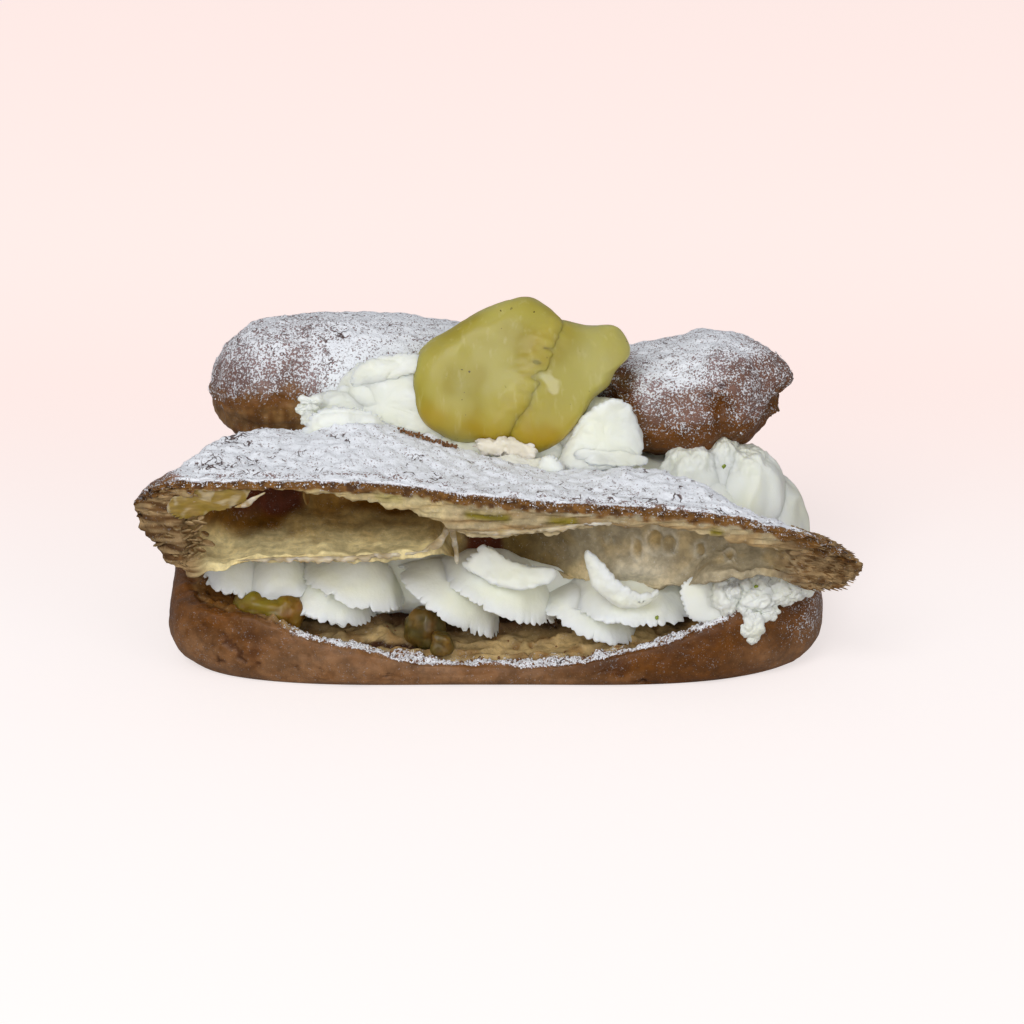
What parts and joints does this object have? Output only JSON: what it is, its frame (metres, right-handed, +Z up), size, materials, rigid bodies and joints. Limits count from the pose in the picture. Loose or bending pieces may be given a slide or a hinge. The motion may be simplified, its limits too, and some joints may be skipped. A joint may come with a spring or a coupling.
{
  "type": "cream puff",
  "caption": "Long choux cream puff, cut open, its hollow lid in halves on piped cream, topped with fruit chunks and icing sugar.",
  "frame": {"origin": "middle of the whole puff's footprint, on the table", "axes": "+X along the puff, the open cut side faces -Y, +Z up"},
  "size_m": [0.1384, 0.0648, 0.0672],
  "materials": {
    "choux": "baked choux crust with icing sugar",
    "cream": "soft piped cream",
    "fruit": "wet translucent fruit"
  },
  "bodies": {
    "root": {"base_shell": "choux", "front_lid": "choux", "back_lid": "choux", "whipped_cream": "cream", "chunk_left": "fruit", "chunk_right": "fruit", "fruit_bit_left": "fruit", "fruit_bit_middle": "fruit", "fruit_bit_small": "fruit"}
  },
  "joints": []
}
